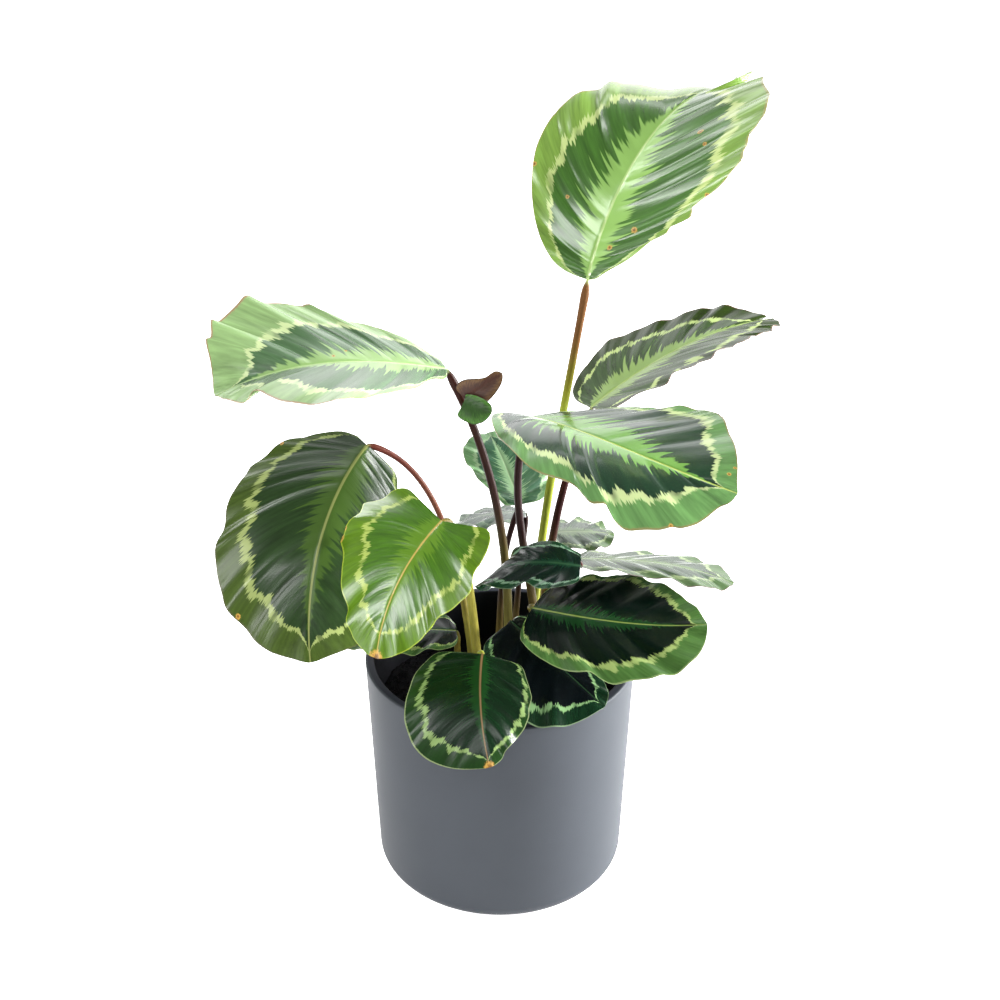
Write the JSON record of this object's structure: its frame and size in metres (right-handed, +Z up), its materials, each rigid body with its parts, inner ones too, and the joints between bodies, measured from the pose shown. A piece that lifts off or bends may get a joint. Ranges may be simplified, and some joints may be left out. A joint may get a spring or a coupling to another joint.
{
  "type": "potted calathea",
  "caption": "Upright houseplant with broad waved leaves, each ringed in cream around a dark centre, on slender stalks in a plain round pot.",
  "frame": {"origin": "centre of the pot's flat base, on the surface that it stands on", "axes": "+Z up through the pot's axis to the top leaf; -Y is the front of the picture, +X its right"},
  "size_m": [0.3117, 0.2416, 0.4264],
  "materials": {
    "pot": "matte",
    "soil": "matte",
    "blade_light": "satin",
    "blade_bright": "satin",
    "blade_dark": "satin",
    "blade_purple": "satin",
    "stalk": "satin"
  },
  "bodies": {
    "root": {"pot": "pot", "soil": "soil", "leaf_top_blade": "blade_light", "leaf_top_stalk": "stalk", "leaf_left_high_blade": "blade_light", "leaf_left_high_stalk": "stalk", "leaf_right_mid_blade": "blade_light", "leaf_right_mid_stalk": "stalk", "leaf_right_high_blade": "blade_dark", "leaf_right_high_stalk": "stalk", "leaf_left_large_blade": "blade_dark", "leaf_left_large_stalk": "stalk", "leaf_left_bright_blade": "blade_bright", "leaf_left_bright_stalk": "stalk", "leaf_front_small_blade": "blade_dark", "leaf_front_small_stalk": "stalk", "leaf_right_dark_blade": "blade_dark", "leaf_right_dark_stalk": "stalk", "leaf_right_narrow_blade": "blade_dark", "leaf_right_narrow_stalk": "stalk", "leaf_center_small_blade": "blade_dark", "leaf_center_small_stalk": "stalk", "leaf_back_pale_blade": "blade_light", "leaf_back_pale_stalk": "stalk", "leaf_back_right_blade": "blade_light", "leaf_back_right_stalk": "stalk", "leaf_back_left_blade": "blade_light", "leaf_back_left_stalk": "stalk", "leaf_rim_dark_blade": "blade_dark", "leaf_rim_dark_stalk": "stalk", "leaf_inner_left_blade": "blade_dark", "leaf_inner_left_stalk": "stalk", "lobe_purple": "blade_purple", "lobe_green": "blade_bright"}
  },
  "joints": []
}
